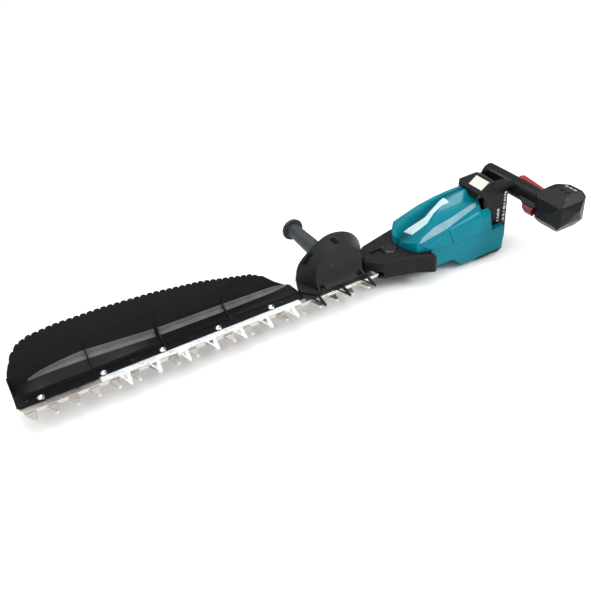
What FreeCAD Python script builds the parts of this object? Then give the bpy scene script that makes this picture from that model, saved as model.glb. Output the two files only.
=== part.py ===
"""Battery hedge trimmer with a single-sided 600 mm shear, a chip receiver and two lateral handles.

Millimetres. +X runs to the blade tip, +Y to the cutting teeth, +Z up.
The finished model is moved so its origin is the bottom centre of its box.
"""
import os
import math
import FreeCAD
import Part

V = FreeCAD.Vector
Y_AXIS = V(0, 1, 0)
Z_AXIS = V(0, 0, 1)

# Shear
PITCH = 35.0                     # tooth spacing
TEETH = 19
SPINE_Y = (-60.0, -24.0)         # shear spine, back and front edges
TOOTH_BASE = 19.0
TOOTH_TIP = 5.0
TOOTH_LEAN = 3.0                 # tips lean back toward the body
STROKE = 7.5                     # each blade moves this far both ways
UPPER_Z = (-1.3, 0.9)
LOWER_Z = (-3.7, -1.5)
BAR_Z = (1.0, 4.0)
BAR_Y = (-60.0, -22.0)
COMB_Z = (4.0, 5.5)
BOLT_Y = -42.0
BOLT_X = [-22.6 - 105.85 * i for i in range(5)]
SHANK_R = 3.0
SLOT_HALF = STROKE + SHANK_R + 0.4

# Gear train
CENTRE_Y = -50.0
CRANK_X = -715.0
MODULE = 1.5
CRANK_TEETH = 38
IDLER_TEETH = 40
PINION_TEETH = 10
IDLER_X = CRANK_X - MODULE * (CRANK_TEETH + IDLER_TEETH) / 2
MOTOR_X = IDLER_X - MODULE * (IDLER_TEETH + PINION_TEETH) / 2
GEAR_Z = (8.0, 16.0)
PIN_R = 4.0

# Gear case
CASE_PLAN = [(-650, -45), (-678, -18), (-740, 1), (-769, 20), (-775, 19), (-775, -6), (-845, -6),
             (-845, -94), (-775, -94), (-775, -113), (-755, -112), (-731, -106), (-677, -92), (-650, -72)]
CASE_Z = (-9.0, 29.0)
CASE_SPLIT = 4.5
CASE_SHOULDER_Z = 25.0
WALL = 3.0

# Battery
BATTERY_X = (-975.0, -913.0)
BATTERY_Y = (-87.5, -12.5)
BATTERY_Z = (-19.0, 94.0)

# Rear handle, built upright and then turned about its own axis
TUBE_X = -1000.0
TUBE_Z = 84.0
TUBE_Y = (-104.0, 70.0)
TUBE_R = 19.5
TUBE_TURN = 30.7

# Front handle
STICK_X = -580.0
STICK_Z = 49.0
GUARD_FACE_Y = -40.0
GUARD_RIM_Y = -86.0
CORD_HOLE_R = 2.2


def box(x, y, z):
    """Box from three (low, high) pairs."""
    return Part.makeBox(x[1] - x[0], y[1] - y[0], z[1] - z[0], V(x[0], y[0], z[0]))


def cyl(centre, radius, height, axis=Z_AXIS):
    return Part.makeCylinder(radius, height, V(*centre), axis)


def cone(centre, low_radius, high_radius, height, axis=Z_AXIS):
    return Part.makeCone(low_radius, high_radius, height, V(*centre), axis)


def ring(centre, outer, inner, height, axis=Z_AXIS):
    return cyl(centre, outer, height, axis).cut(cyl(centre, inner, height, axis))


def plate(points, plane, low, high):
    """Polygon in the xy, xz or yz plane, extruded across it from low to high."""
    place = {"xy": lambda a, b: V(a, b, low),
             "xz": lambda a, b: V(a, low, b),
             "yz": lambda a, b: V(low, a, b)}[plane]
    push = {"xy": V(0, 0, high - low), "xz": V(0, high - low, 0), "yz": V(high - low, 0, 0)}[plane]
    corners = [place(a, b) for a, b in points]
    return Part.Face(Part.makePolygon(corners + corners[:1])).extrude(push)


def inset(points, distance):
    """Polygon moved inward by a distance, corners kept sharp."""
    area = sum(a[0] * b[1] - b[0] * a[1] for a, b in zip(points, points[1:] + points[:1]))
    side = distance if area > 0 else -distance
    moved = []
    for i, here in enumerate(points):
        before = points[i - 1]
        after = points[(i + 1) % len(points)]
        u = V(here[0] - before[0], here[1] - before[1], 0).normalize()
        w = V(after[0] - here[0], after[1] - here[1], 0).normalize()
        n1 = V(-u.y, u.x, 0) * side
        n2 = V(-w.y, w.x, 0) * side
        bend = u.x * w.y - u.y * w.x
        if abs(bend) < 0.02:
            moved.append((here[0] + n1.x, here[1] + n1.y))
            continue
        reach = ((n2.x - n1.x) * w.y - (n2.y - n1.y) * w.x) / bend
        moved.append((here[0] + n1.x + u.x * reach, here[1] + n1.y + u.y * reach))
    return moved


def fuse(shapes):
    whole = shapes[0]
    for extra in shapes[1:]:
        whole = whole.fuse(extra)
    return whole.removeSplitter()


def cut_all(shape, tools):
    for tool in tools:
        shape = shape.cut(tool)
    return shape


def slot(x, y, half, radius, z):
    """Round-ended slot along X, cut from z low to high."""
    tall = z[1] - z[0]
    flat = half - radius
    return fuse([box((x - flat, x + flat), (y - radius, y + radius), z),
                 cyl((x - flat, y, z[0]), radius, tall), cyl((x + flat, y, z[0]), radius, tall)])


# ---- cutting attachment ----

def shear_blade(z):
    """Toothed steel blade with bolt slots and a yoke window for the crank pins."""
    back, front = SPINE_Y
    outline = [(-745, back), (6, back), (12, back + 8), (10, front)]
    for k in range(TEETH):
        x = -PITCH * k
        outline += [(x + TOOTH_BASE / 2, front), (x + TOOTH_TIP / 2 - TOOTH_LEAN, -1.0),
                    (x - TOOTH_LEAN, 0.0), (x - TOOTH_TIP / 2 - TOOTH_LEAN, -1.0),
                    (x - TOOTH_BASE / 2, front)]
    outline += [(-668, front), (-676, -36), (-745, -34)]
    blade = plate(outline, "xy", z[0], z[1])
    slots = [slot(x, BOLT_Y, SLOT_HALF, SHANK_R + 0.4, z) for x in BOLT_X]
    yoke = box((-745, -684), (-75, -25), z)
    window = box((CRANK_X - 20, CRANK_X + 20), (CENTRE_Y - 13, CENTRE_Y + 13), z)
    return cut_all(blade.fuse(yoke).removeSplitter(), slots + [window])


def guide_bar():
    """Straight flat bar the blades run under; open around the crank."""
    outline = [(-668, BAR_Y[0]), (8, BAR_Y[0]), (15, -46), (15, -34), (6, BAR_Y[1]), (-668, BAR_Y[1])]
    bar = plate(outline, "xy", BAR_Z[0], BAR_Z[1])
    holes = [cyl((x, BOLT_Y, BAR_Z[0]), SHANK_R, 3) for x in BOLT_X]
    holes += [cyl((x, y, BAR_Z[0]), SHANK_R, 3) for x, y in GUARD_BOLTS]
    return cut_all(bar, holes)


def comb_tooth(x, tip_y, base, z):
    """One long pointed guard tooth with a slit down its middle."""
    body = plate([(x + base / 2, -34), (x + 3.0, -10), (x - 3, tip_y), (x - 6.5, tip_y - 3),
                  (x - base / 2, -34)], "xy", z[0], z[1])
    slit = plate([(x + 4, -21), (x - 1.2, -4), (x - 5, -21)], "xy", z[0], z[1])
    return body.cut(slit)


def guard_comb():
    """Bright plated comb whose blunt teeth stand ahead of the cutting teeth."""
    z = COMB_Z
    strip = box((-500, -120), (-52, -23.5), z)
    tips = [-157.0 - 52.5 * i for i in range(7)]
    teeth = [comb_tooth(x, 11.0, 26.0, z) for x in tips]
    holes = [cyl((x + 18, -30, z[0]), 1.8, z[1] - z[0]) for x in tips[1:]]
    bolts = [cyl((x, BOLT_Y, z[0]), SHANK_R, z[1] - z[0]) for x in BOLT_X[1:]]
    return cut_all(fuse([strip] + teeth), holes + bolts)


def front_guard_comb():
    """Black comb below the hand guard."""
    z = (COMB_Z[0], 6.0)
    strip = box((-649, -512.5), (-59, -25), z)
    teeth = [comb_tooth(x, 11.0, 24.0, z) for x in (-529.0, -582.0, -637.0)]
    holes = [cyl((x, y, z[0]), SHANK_R, z[1] - z[0]) for x, y in GUARD_BOLTS]
    return cut_all(fuse([strip] + teeth), holes)


def blade_bolts():
    """Five domed bolts through the receiver, bar and blades."""
    solids = []
    for x in BOLT_X:
        dome = Part.makeSphere(9.0, V(x, BOLT_Y, 3.6)).common(box((x - 9, x + 9), (-51, -33), (9.0, 12.6)))
        head = cyl((x, BOLT_Y, 7.5), 7.2, 1.5)
        shank = cyl((x, BOLT_Y, -9.0), SHANK_R, 16.5)
        solids.append(fuse([head, dome, shank]))
    return Part.makeCompound(solids)


def blade_washers():
    return Part.makeCompound([ring((x, BOLT_Y, -4.9), 8.0, SHANK_R, 1.0) for x in BOLT_X])


def blade_nuts():
    solids = []
    for x in BOLT_X:
        corners = [(x + 5.8 * math.cos(math.radians(60 * i)), BOLT_Y + 5.8 * math.sin(math.radians(60 * i)))
                   for i in range(6)]
        nut = plate(corners, "xy", -8.6, -4.9)
        solids.append(nut.cut(cyl((x, BOLT_Y, -9), SHANK_R, 5)))
    return Part.makeCompound(solids)


# ---- chip receiver ----

TRAY_X = (-512.0, 18.0)
TRAY_THICK = 2.0
TRAY_SCREW_X = [-1.0, -181.0, -287.0, -467.0]
TRAY_SCREW_Y = -43.0
RIB_X = (-115.0, -242.0, -370.0)
# station along X, height of the crease between the sloped floor and the wall
CREASES = [(18, 6.4), (9, 8), (-19, 15), (-50, 20), (-109, 21.5), (-175, 16), (-245, 10), (-365, 8), (-512, 6.8)]
TRAY_TOPS = [(18, 28), (11, 43), (0, 67), (-16, 84), (-36, 92), (-80, 96), (-165, 95), (-251, 89),
             (-340, 77), (-437, 54), (-460, 41), (-485, 18), (-500, 9), (-512, 6)]


def along(marks, x):
    """Height read from a list of (station, height) pairs that runs toward -X."""
    for (x1, z1), (x2, z2) in zip(marks, marks[1:]):
        if x2 <= x <= x1:
            return z1 + (z2 - z1) * (x - x1) / (x2 - x1)
    return marks[-1][1]


def tray_top(x):
    return along(TRAY_TOPS, x)


def tray_side():
    """Side outline of the receiver: scalloped along the top, plain at the rear."""
    step = 11.7
    points = [(TRAY_X[0], -10), (TRAY_X[1], -10), (TRAY_X[1], tray_top(TRAY_X[1]))]
    x = TRAY_X[1] - 2.0
    while x > -443:
        for share, drop in ((0.0, 3.6), (0.1, 1.5), (0.28, 0.2), (0.5, 0.0), (0.72, 0.2), (0.9, 1.5)):
            points.append((x - step * share, tray_top(x - step * share) - drop))
        x -= step
    points += [(-460, tray_top(-460)), (-480, tray_top(-480)), (-500, tray_top(-500)), (TRAY_X[0], 6.0)]
    return points


def tray_line(crease):
    """Lower face of the receiver at one station: flange, sloped floor, crease and wall."""
    return [(-36, 5.5), (-58, 5.5), (-63, 6.0), (-86, crease), (-90, crease + 9), (-96, crease + 32), (-101, 106)]


def offset_line(line, grow):
    """Open line moved sideways by grow, corner by corner."""
    moved = []
    for i, (y, z) in enumerate(line):
        a = line[max(i - 1, 0)]
        b = line[min(i + 1, len(line) - 1)]
        n = V(b[1] - a[1], a[0] - b[0], 0).normalize()
        moved.append((y + n.x * grow, z + n.y * grow))
    return moved


def tray_wire(x, crease):
    line = tray_line(crease)
    ring_points = line + offset_line(line, TRAY_THICK)[::-1]
    corners = [V(x, y, z) for y, z in ring_points]
    return Part.makePolygon(corners + corners[:1])


def tray_rib(x):
    line = tray_line(along(CREASES, x))
    lifted = offset_line(line, 1.0)
    crease = lifted[3][1]
    return plate([(-45, 6.5), lifted[1], lifted[3], lifted[4], lifted[5], (-93.5, crease + 30), (-87, crease + 14),
                  (-78, crease + 7), (-64, 12.5), (-45, 8.5)], "yz", x - 1.0, x + 1.0)


def chip_receiver():
    """Long plastic tray: flange on the bar, sloped floor, crease and a tall scalloped wall."""
    sheet = Part.makeLoft([tray_wire(x, crease) for x, crease in CREASES], True, True)
    ledge = box((TRAY_X[0] + 6, -5.0), (-54, -51.5), (7.4, 8.5))
    pad = box((-118, 10), (-57, -36), (4.0, 5.6))
    end = plate([(-58, 6.5), (-63, 7.0), (-86, 8), (-91.5, 17), (-97, 42), (-84, 28), (-70, 13)],
                "yz", TRAY_X[1] - 2.0, TRAY_X[1])
    ribs = [tray_rib(x) for x in RIB_X]
    tray = fuse([sheet, ledge, pad, end] + ribs).common(plate(tray_side(), "xz", -120, -30))
    holes = [cyl((x, BOLT_Y, 3), SHANK_R, 8) for x in BOLT_X]
    holes += [cyl((x, TRAY_SCREW_Y, 3), 1.6, 8) for x in TRAY_SCREW_X]
    return cut_all(tray, holes)


def tray_screws():
    return Part.makeCompound([fuse([cyl((x, TRAY_SCREW_Y, 7.5), 3.2, 1.4), cyl((x, TRAY_SCREW_Y, 5.5), 1.6, 2.0)])
                              for x in TRAY_SCREW_X])


# ---- front handle ----

GUARD_BOLTS = [(-550.0, -31.0), (-632.0, -31.0), (-517.5, -54.0)]
GUARD_NEAR = [(-540, 10), (-544, 45), (-553, 64), (-571, 78), (-589, 83), (-612, 78), (-631, 67),
              (-642, 54), (-643, 10)]
GUARD_FAR = [(-522, 10), (-529, 40), (-548, 60), (-582, 81), (-605, 86), (-631, 81), (-653, 67),
             (-667, 44), (-672, 10)]


def rounded(points, steps=4):
    """Open outline passed through its corners as a smooth curve; the end corners stay sharp."""
    ends = [points[0]] + points + [points[-1]]
    curve = []
    for p0, p1, p2, p3 in zip(ends, ends[1:], ends[2:], ends[3:]):
        for k in range(steps):
            t = k / steps
            curve.append(tuple(0.5 * (2 * b + (c - a) * t + (2 * a - 5 * b + 4 * c - d) * t * t
                                      + (3 * b - a - 3 * c + d) * t ** 3)
                               for a, b, c, d in zip(p0, p1, p2, p3)))
    return curve + [points[-1]]


def polygon_wire(points, y):
    corners = [V(x, y, z) for x, z in points]
    return Part.makePolygon(corners + corners[:1])


def guard_dome(distance, overrun=0.0):
    """Solid dome moved inward by a distance; it runs past the open rim by overrun."""
    return Part.makeLoft([polygon_wire(inset(rounded(GUARD_FAR), distance), GUARD_RIM_Y - overrun),
                          polygon_wire(inset(rounded(GUARD_NEAR), distance), GUARD_FACE_Y - distance)], True, True)


def hand_guard():
    """Domed shield: closed toward the teeth, open toward the hand, two pockets in its rim."""
    shell = guard_dome(0.0).cut(guard_dome(WALL, 1.0))
    foot = plate([(-649, -84), (-522, -84), (-512.5, -60), (-512.5, -48), (-532, -27), (-645, -27)],
                 "xy", 6.0, 10.0)
    boss = cyl((STICK_X, GUARD_FACE_Y - WALL - 12, STICK_Z), 15, 13, Y_AXIS)
    skirt = plate([(-41, 10), (-28, 10), (-34, 15), (-38, 22), (-41, 32)], "yz", -641.5, -541.5)
    whole = fuse([shell, foot, boss, skirt])
    tools = [cyl((x, y, 5), SHANK_R, 8) for x, y in GUARD_BOLTS]
    tools += [cyl((x, y, 10), 6.0, 26) for x, y in GUARD_BOLTS]
    tools.append(case_solid(-0.4, CASE_SPLIT - 4, CASE_Z[1] + 0.4))
    tools.append(cyl((STICK_X, -60, STICK_Z), 8.0, 14, Y_AXIS))
    tools.append(cyl((STICK_X, -50, STICK_Z), 3.0, 14, Y_AXIS))
    core = guard_dome(2.0, 1.0)
    tools.append(box((-603, -592), (-71, -51), (50, 110)).cut(core))
    tools.append(box((-560, -515), (-79, -69), (46, 66)).cut(core))
    return cut_all(whole, tools)


def guard_bolts():
    """Button-head bolts that clamp guard, comb and bar."""
    return Part.makeCompound([fuse([cone((x, y, 10.0), 4.8, 3.6, 2.2), cyl((x, y, 1.0), SHANK_R, 9)])
                              for x, y in GUARD_BOLTS])


def front_handle_core():
    """Steel tube from the guard out through the grip."""
    return ring((STICK_X, -192, STICK_Z), 8.0, 6.0, 146, Y_AXIS)


def front_handle_grip():
    """Tapered rubber grip with a stop flange and a cord hole through the flange."""
    profile = [(8, -55), (17, -55), (17, -62), (16, -110), (14, -186), (14.2, -194), (21.5, -194),
               (22.5, -197), (21.5, -200), (13, -200), (9, -204), (0, -204), (0, -192), (8, -192)]
    corners = [V(r, y, 0) for r, y in profile]
    grip = Part.Face(Part.makePolygon(corners + corners[:1])).revolve(V(0, 0, 0), Y_AXIS, 360)
    grip.translate(V(STICK_X, 0, STICK_Z))
    return grip.cut(cyl((STICK_X, -206, STICK_Z + 17.5), CORD_HOLE_R, 20, Y_AXIS))


def front_handle_bolt():
    head = cyl((STICK_X, -50, STICK_Z), 5.8, 4.0, Y_AXIS)
    return head.fuse(cyl((STICK_X, -46, STICK_Z), 3.0, 6.0, Y_AXIS)).removeSplitter()


# ---- gear case ----

def case_solid(distance, low, high):
    return plate(inset(CASE_PLAN, distance), "xy", low, high)


def case_wire(distance, z):
    """Plan outline of the case moved inward, at one height."""
    corners = [V(x, y, z) for x, y in inset(CASE_PLAN, distance)]
    return Part.makePolygon(corners + corners[:1])


def blade_channel():
    return box((-755, -640), (-80, -18), (-4.5, CASE_SPLIT))


def gear_case_lower():
    solid = case_solid(0, CASE_Z[0], CASE_SPLIT)
    foot = plate([(-668, -64), (-668, -46), (-742, -10), (-758, -10), (-758, -98), (-742, -98)],
                 "xy", CASE_Z[0] - 3, CASE_Z[0])
    pocket = box((-840, -764), (-80, -20), (-4.5, CASE_SPLIT))
    tools = [blade_channel(), pocket] + case_screw_holes()
    bar_seat = box((-668, -645), (BAR_Y[0], BAR_Y[1]), (BAR_Z[0] - 0.1, CASE_SPLIT))
    tools += [bar_seat, cyl((IDLER_X, CENTRE_Y, -6), 3.95, 8)]
    return cut_all(fuse([solid, foot]), tools)


def gear_case_upper():
    """Cover with the gear cavity, bearing seats and a sloped shoulder all round."""
    shoulder = Part.makeLoft([case_wire(0.0, CASE_SHOULDER_Z), case_wire(4.0, CASE_Z[1])], True, True)
    solid = case_solid(0, CASE_SPLIT, CASE_SHOULDER_Z).fuse(shoulder).removeSplitter()
    cavity = [cyl((CRANK_X, CENTRE_Y, CASE_SPLIT), 31.5, 15.5), cyl((IDLER_X, CENTRE_Y, CASE_SPLIT), 33, 15.5),
              cyl((MOTOR_X, CENTRE_Y, CASE_SPLIT), 12, 15.5)]
    mouth = box((-700, -640), (-61, -21), (CASE_SPLIT, 5.2))
    seats = [cyl((CRANK_X, CENTRE_Y, 20), 11, 6), cyl((IDLER_X, CENTRE_Y, 20), 8, 4),
             cyl((MOTOR_X, CENTRE_Y, 20), 9.5, 10)]
    recess = [box((-700, -672), (-62, -44), (25, 30)), cyl((CRANK_X, CENTRE_Y, 26), 16.5, 4)]
    return cut_all(solid, cavity + [mouth] + seats + recess + case_screw_holes())


def case_screw_xy():
    return [(-731, -98), (-734, -10), (-700, -88), (-765, 10), (-765, -104)]


def case_screw_holes():
    return [cyl((x, y, -6), 2.0, 40) for x, y in case_screw_xy()] + \
           [cyl((x, y, 25.5), 4.0, 5) for x, y in case_screw_xy()]


def gear_case_screws():
    solids = []
    for x, y in case_screw_xy():
        screw = fuse([cyl((x, y, -6), 2.0, 31.5), cyl((x, y, 25.5), 4.0, 2.5)])
        solids.append(screw.cut(cyl((x, y, 26.8), 1.6, 2)))
    return Part.makeCompound(solids)


def case_cap():
    """Glossy round cap over the crank bearing."""
    return cyl((CRANK_X, CENTRE_Y, 26), 16.5, 3.5).fuse(cone((CRANK_X, CENTRE_Y, 29.5), 16.5, 13, 2.5)).removeSplitter()


def blade_seal():
    """Felt strip above the bar where it enters the case."""
    return box((-664, -658), (-61, -21), (4.6, 5.2))


def gear(x, teeth, turn, bore):
    """Spur gear with straight-flanked teeth."""
    pitch_r = MODULE * teeth / 2
    shape = []
    for k in range(teeth):
        mid = turn + 360.0 * k / teeth
        for radius, half in ((pitch_r - 1.75, 1.35), (pitch_r + 1.15, 0.5)):
            swing = math.degrees(half / radius)
            shape.append((mid, radius, swing))
    points = []
    for k in range(teeth):
        root, tip = shape[2 * k], shape[2 * k + 1]
        for mid, radius, swing in ((root[0], root[1], -root[2]), (tip[0], tip[1], -tip[2]),
                                   (tip[0], tip[1], tip[2]), (root[0], root[1], root[2])):
            a = math.radians(mid + swing)
            points.append((x + radius * math.cos(a), CENTRE_Y + radius * math.sin(a)))
    return plate(points, "xy", GEAR_Z[0], GEAR_Z[1]).cut(cyl((x, CENTRE_Y, 0), bore, 30))


def crank_gear():
    """Driven gear with its shaft, web and two opposed crank pins."""
    disc = gear(CRANK_X, CRANK_TEETH, 0.0, 0.5)
    web = cyl((CRANK_X, CENTRE_Y, 5.2), 15, GEAR_Z[0] - 5.2)
    shaft = cyl((CRANK_X, CENTRE_Y, 5.2), 5.0, 20.3)
    collar = cyl((CRANK_X, CENTRE_Y, GEAR_Z[1]), 7.0, 3.6)
    high_pin = cyl((CRANK_X + STROKE, CENTRE_Y, -1.2), PIN_R, 6.5)
    low_pin = cyl((CRANK_X - STROKE, CENTRE_Y, -3.6), PIN_R - 1, 9)
    return fuse([disc, web, shaft, collar, high_pin, low_pin])


def idler_gear():
    disc = gear(IDLER_X, IDLER_TEETH, 360.0 / IDLER_TEETH / 2, 4.0)
    hub = ring((IDLER_X, CENTRE_Y, 6.5), 7.0, 4.0, 13.0)
    return fuse([disc, hub])


def idler_pin():
    return cyl((IDLER_X, CENTRE_Y, -6), 3.95, 30).fuse(cyl((IDLER_X, CENTRE_Y, 4.5), 6.5, 1.8)).removeSplitter()


def crank_bearing():
    return ring((CRANK_X, CENTRE_Y, 20), 11, 5.05, 6)


# ---- motor ----

def motor_shaft():
    """Rotor shaft with the pinion cut on its lower end."""
    pinion = gear(MOTOR_X, PINION_TEETH, 180.0 / PINION_TEETH if IDLER_TEETH % 2 else 0.0, 0.5)
    shaft = cyl((MOTOR_X, CENTRE_Y, 6.5), 4.0, 62)
    return fuse([pinion, shaft])


def motor_rotor():
    return ring((MOTOR_X, CENTRE_Y, 33), 11.5, 4.0, 22)


def motor_stator():
    """Laminated ring with six inward poles."""
    yoke = ring((MOTOR_X, CENTRE_Y, 33), 23, 19, 22)
    poles = []
    for i in range(6):
        pole = box((MOTOR_X + 12.5, MOTOR_X + 20), (CENTRE_Y - 2.5, CENTRE_Y + 2.5), (33, 55))
        poles.append(pole.rotate(V(MOTOR_X, CENTRE_Y, 0), Z_AXIS, 60 * i))
    return fuse([yoke] + poles)


def motor_windings():
    """Copper coil on each pole."""
    solids = []
    for i in range(6):
        coil = box((MOTOR_X + 13.5, MOTOR_X + 18), (CENTRE_Y - 5, CENTRE_Y + 5), (31, 57))
        coil = coil.cut(box((MOTOR_X + 13, MOTOR_X + 19), (CENTRE_Y - 2.5, CENTRE_Y + 2.5), (33, 55)))
        solids.append(coil.rotate(V(MOTOR_X, CENTRE_Y, 0), Z_AXIS, 60 * i))
    return Part.makeCompound(solids)


def cooling_fan():
    hub = ring((MOTOR_X, CENTRE_Y, 58.5), 7, 4.0, 4)
    disc = ring((MOTOR_X, CENTRE_Y, 58.5), 17, 6.5, 1)
    vanes = []
    for i in range(9):
        vane = box((MOTOR_X + 6.5, MOTOR_X + 17), (CENTRE_Y - 0.6, CENTRE_Y + 0.6), (59, 62.5))
        vanes.append(vane.rotate(V(MOTOR_X, CENTRE_Y, 0), Z_AXIS, 40 * i))
    return fuse([hub, disc] + vanes)


def motor_bearings():
    return Part.makeCompound([ring((MOTOR_X, CENTRE_Y, 20.5), 9.5, 4.05, 6),
                              ring((MOTOR_X, CENTRE_Y, 64), 8.0, 4.05, 4.5)])


def motor_frame():
    """Cup that holds the stator and the upper bearing above the gear case."""
    cup = ring((MOTOR_X, CENTRE_Y, CASE_Z[1]), 25, 23, 35)
    step = ring((MOTOR_X, CENTRE_Y, CASE_Z[1]), 25, 20, 4)
    roof = ring((MOTOR_X, CENTRE_Y, 64), 25, 8.0, 2.0)
    neck = ring((MOTOR_X, CENTRE_Y, 64), 10, 8.0, 4.5)
    vents = []
    for i in range(8):
        vent = box((MOTOR_X + 20, MOTOR_X + 27), (CENTRE_Y - 4, CENTRE_Y + 4), (58.5, 62.5))
        vents.append(vent.rotate(V(MOTOR_X, CENTRE_Y, 0), Z_AXIS, 45 * i))
    return cut_all(fuse([cup, step, roof, neck]), vents)


# ---- housing ----

BODY_SIDE = [(-733, 29), (-736, 42), (-760, 60), (-790, 79), (-826, 98), (-850, 104), (-888, 107),
             (-888, 96), (-905, 96), (-905, 80), (-920, 70), (-925, 58), (-925, 20), (-956, 20), (-960, 14),
             (-956, -34), (-948, -41), (-860, -41), (-830, -14), (-778, -13), (-776, 29)]
BODY_PLAN = [(-733, -62), (-734, -42), (-740, -22), (-748, -7), (-770, 0), (-860, 2), (-965, 0),
             (-965, -100), (-860, -102), (-770, -101), (-756, -98), (-742, -84), (-735, -72)]
BODY_SECTION = [(-92, -45), (-102, -32), (-102, 22), (-94, 56), (-78, 84), (-60, 106), (-40, 106),
                (-22, 84), (-6, 56), (2, 22), (2, -32), (-8, -45)]
BAY = ((-985.0, -905.0), (-88.0, -12.0), (-60.0, 200.0))


def body_solid(distance):
    """Housing volume moved inward by a distance, with the battery bay left out."""
    side = plate(inset(BODY_SIDE, distance), "xz", -110, 10)
    plan = plate(inset(BODY_PLAN, distance), "xy", -60, 130)
    section = plate(inset(BODY_SECTION, distance), "yz", -970, -730)
    solid = side.common(plan).common(section)
    grow = distance
    bay = box((BAY[0][0], BAY[0][1] + grow), (BAY[1][0] - grow, BAY[1][1] + grow), BAY[2])
    return solid.cut(bay)


def housing_shell():
    shell = body_solid(0).cut(body_solid(WALL))
    tongue = box((-848, -770), (-95, -5), (-13, 31))
    groove = box((-950, -842), (1.0, 3.5), (7, 9))
    vents = []
    for i in range(5):
        vents.append(box((-872 + 9 * i, -867 + 9 * i), (-107, -99), (-28, -4)))
    posts = [cyl((x, -97, z), 4.0, 94, Y_AXIS) for x, z in housing_screw_xz()]
    shell = fuse([shell] + [post.common(body_solid(0.5)) for post in posts])
    tools = [cyl((x, -104, z), 1.6, 104 + screw_end(z), Y_AXIS) for x, z in housing_screw_xz()]
    tools += [cyl((x, head_y(z) - 30, z), 3.4, 30, Y_AXIS) for x, z in housing_screw_xz()]
    tools.append(box((-906, -901), (-72, -28), (30, 80)))
    return cut_all(shell, [tongue, groove, box((-776, -730), (-112, 12), (20, 29)), rubber_feet()] + vents + tools)


def housing_screw_xz():
    return [(-862, 2), (-880, 70), (-846, 70), (-896, 1)]


def head_y(z):
    """Where a housing screw's head seats on the far side, which slopes in above the flank."""
    return -80.0 if z > 50 else -97.0


def screw_end(z):
    """Blind end of a housing screw inside the near half."""
    return -22.0 if z > 50 else -8.0


def housing_near():
    return largest(housing_shell().common(box((-1000, -700), (CENTRE_Y, 60), (-80, 160))))


def housing_far():
    return largest(housing_shell().common(box((-1000, -700), (-160, CENTRE_Y), (-80, 160))))


def largest(shape):
    """The one real solid of a cut shape, without slivers."""
    return max(shape.Solids, key=lambda solid: solid.Volume)


def housing_screws():
    solids = []
    for x, z in housing_screw_xz():
        seat = head_y(z)
        shank = cyl((x, seat, z), 1.6, screw_end(z) - seat, Y_AXIS)
        solids.append(fuse([shank, cyl((x, seat - 2.2, z), 3.3, 2.2, Y_AXIS)]))
    return Part.makeCompound(solids)


def controller():
    """Potted control electronics behind the motor."""
    tray = box((-901, -865), (-76, -24), (-38, -12)).cut(box((-899, -867), (-74, -26), (-35, -12)))
    board = box((-899, -867), (-74, -26), (-24, -22.4))
    parts = [cyl((-890 + 14 * i, -64 + 28 * j, -22.4), 5, 9) for i in range(2) for j in range(2)]
    return fuse([tray, board] + parts)


def terminal_block():
    """Upright contact carrier that the battery rails pass over."""
    carrier = box((-905, -897), (-71, -29), (31, 79))
    rails = [box((-911.5, -905), (y - 2, y + 2), (32, 78)) for y in (-66, -34)]
    blades = [box((-911, -905), (y - 0.6, y + 0.6), (46, 62)) for y in (-58, -42)]
    return fuse([carrier] + rails + blades)


def rubber_feet():
    """Black corner strips under both wings of the battery cradle."""
    near = [(BAY[1][1], -43.5), (-5.5, -43.5), (2.4, -33), (BAY[1][1], -33)]
    far = [(2 * CENTRE_Y - y, z) for y, z in near]
    return Part.makeCompound([plate(outline, "yz", -952, -892) for outline in (near, far)])


# ---- rear cap and arm ----

CAP_SIDE = [(-888.2, 96), (-888.2, 111), (-894, 115.5), (-914, 128.7), (-921, 129.5), (-927, 126), (-927, 96)]
CAP_SECTION = [(-88, 96), (-88, 102), (-56, 126), (-50, 130), (-8, 130), (-2.5, 125), (-3.5, 112), (-10, 96)]
CAP_PLAN = [(-927, -88), (-914, -88), (-888.2, -64), (-888.2, -5), (-891, -2.5), (-927, -2.5)]
CAP_CHEEK = [(-892, 108), (-905, 93), (-918, 82), (-926.8, 82), (-926.8, 124), (-898, 115)]
CAP_SLOPE = math.degrees(math.atan2(13.2, 20))
ARM_SIDE = [(-926, 96), (-926, 124), (-938, 122), (-982, 106), (-982, 96)]
ARM_SECTION = [(-88, 90), (-88, 99), (-54, 124), (-36, 124), (-12, 107), (-9, 100), (-9, 90)]


def cap_solid(distance):
    """Front block of the cap moved inward by a distance."""
    side = plate(inset(CAP_SIDE, distance), "xz", -100, 0)
    section = plate(inset(CAP_SECTION, distance), "yz", -990, -880)
    return side.common(section).common(plate(inset(CAP_PLAN, distance), "xy", 90, 140))


def handle_arms():
    """Two solid arms either side of an open window above the battery."""
    solid = plate(ARM_SIDE, "xz", -100, 0).common(plate(ARM_SECTION, "yz", -990, -880))
    return solid.cut(box((-971, -933), (-74, -22), (90, 140)))


def rear_cap():
    """Black cap with a sloped front, a cheek beside the battery and arms that carry the rear handle."""
    cheek = plate(CAP_CHEEK, "xz", -11.8, -3.6)
    cap = fuse([cap_solid(0).cut(cap_solid(WALL)), cheek, handle_arms()])
    bore = cyl((TUBE_X, TUBE_Y[0] - 5, TUBE_Z), TUBE_R, 120, Y_AXIS)
    return largest(cap.cut(bore).cut(cap_plate()))


def cap_plate():
    """Pale plate on the front slope of the cap."""
    slab = box((-11, 11), (-18.5, 18.5), (-1.0, 0.3)).rotate(V(0, 0, 0), Y_AXIS, CAP_SLOPE)
    return slab.translate(V(-904.0, -23.0, 122.1))


# ---- battery ----

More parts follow.
